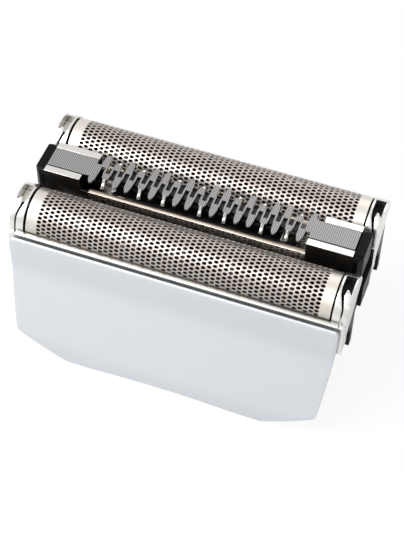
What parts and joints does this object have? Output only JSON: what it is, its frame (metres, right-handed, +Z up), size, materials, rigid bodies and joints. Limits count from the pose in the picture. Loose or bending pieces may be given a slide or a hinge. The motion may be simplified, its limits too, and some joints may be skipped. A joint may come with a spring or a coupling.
{
  "type": "shaver foil head",
  "caption": "Clip-on foil head for an electric shaver: floating perforated foils over oscillating blade stacks, with a sprung comb trimmer between them.",
  "frame": {"origin": "middle of the covers' feet, on the surface that the head rests on", "axes": "+X along the foils to the right, +Y to the rear cover, +Z up through the foils"},
  "size_m": [0.0482, 0.0318, 0.0247],
  "materials": {
    "silver_cover": "satin silver lacquer on moulded plastic",
    "chrome_frame": "chrome-plated plastic",
    "foil_nickel": "electroformed nickel, perforated",
    "bright_steel": "bright rolled strip",
    "matt_steel": "ground and bead-blasted",
    "blade_steel": "ground",
    "spring_wire": "bright wire",
    "black_plastic": "moulded, semi-gloss",
    "dark_plastic": "moulded, matt",
    "white_plastic": "moulded, natural acetal"
  },
  "bodies": {
    "housing": {"chassis": "black_plastic", "deck": "dark_plastic", "front_cover": "silver_cover", "rear_cover": "silver_cover", "front_foil_spring_left": "spring_wire", "front_foil_spring_right": "spring_wire", "rear_foil_spring_left": "spring_wire", "rear_foil_spring_right": "spring_wire", "trimmer_spring_left": "spring_wire", "trimmer_spring_right": "spring_wire"},
    "front_foil_unit": {"front_foil_frame": "chrome_frame", "front_foil_cradle": "black_plastic", "front_foil": "foil_nickel"},
    "rear_foil_unit": {"rear_foil_frame": "chrome_frame", "rear_foil_cradle": "black_plastic", "rear_foil": "foil_nickel"},
    "trimmer_unit": {"trimmer_channel": "bright_steel", "trimmer_comb": "matt_steel", "trimmer_cap_left": "black_plastic", "trimmer_cap_right": "black_plastic", "trimmer_leaf_spring": "bright_steel"},
    "front_drive": {"front_drive_bridge": "white_plastic", "front_cutter_springs": "spring_wire"},
    "rear_drive": {"rear_drive_bridge": "white_plastic", "rear_cutter_springs": "spring_wire"},
    "front_cutter": {"front_cutter_carrier": "dark_plastic", "front_blades": "blade_steel"},
    "rear_cutter": {"rear_cutter_carrier": "dark_plastic", "rear_blades": "blade_steel"},
    "trimmer_cutter": {"trimmer_blade": "blade_steel", "trimmer_driver": "black_plastic"}
  },
  "joints": [
    {"name": "front_foil_float", "type": "slide", "parent": "housing", "child": "front_foil_unit", "axis": [0, 0, 1], "range_m": [-0.002, 0], "stiffness_N_per_m": 400, "springref_m": 0.0005, "deforming": ["front_foil_spring_left", "front_foil_spring_right"]},
    {"name": "rear_foil_float", "type": "slide", "parent": "housing", "child": "rear_foil_unit", "axis": [0, 0, 1], "range_m": [-0.002, 0], "stiffness_N_per_m": 400, "springref_m": 0.0005, "deforming": ["rear_foil_spring_left", "rear_foil_spring_right"]},
    {"name": "trimmer_float", "type": "slide", "parent": "housing", "child": "trimmer_unit", "axis": [0, 0, 1], "range_m": [-0.0015, 0], "stiffness_N_per_m": 400, "springref_m": 0.0005, "deforming": ["trimmer_spring_left", "trimmer_spring_right"]},
    {"name": "front_drive_stroke", "type": "slide", "parent": "housing", "child": "front_drive", "axis": [1, 0, 0], "range_m": [-0.0012, 0.0012]},
    {"name": "rear_drive_stroke", "type": "slide", "parent": "housing", "child": "rear_drive", "axis": [1, 0, 0], "range_m": [-0.0012, 0.0012]},
    {"name": "front_cutter_float", "type": "slide", "parent": "front_drive", "child": "front_cutter", "axis": [0, 0, 1], "range_m": [-0.002, 0], "deforming": ["front_cutter_springs"]},
    {"name": "rear_cutter_float", "type": "slide", "parent": "rear_drive", "child": "rear_cutter", "axis": [0, 0, 1], "range_m": [-0.002, 0], "deforming": ["rear_cutter_springs"]},
    {"name": "trimmer_cutter_stroke", "type": "slide", "parent": "trimmer_unit", "child": "trimmer_cutter", "axis": [1, 0, 0], "range_m": [-0.0012, 0.0012]}
  ],
  "couplings": [
    {"joint": "front_cutter_float", "follows": "front_foil_float", "ratio": 1},
    {"joint": "rear_cutter_float", "follows": "rear_foil_float", "ratio": 1},
    {"joint": "trimmer_cutter_stroke", "follows": "rear_drive_stroke", "ratio": 1}
  ]
}
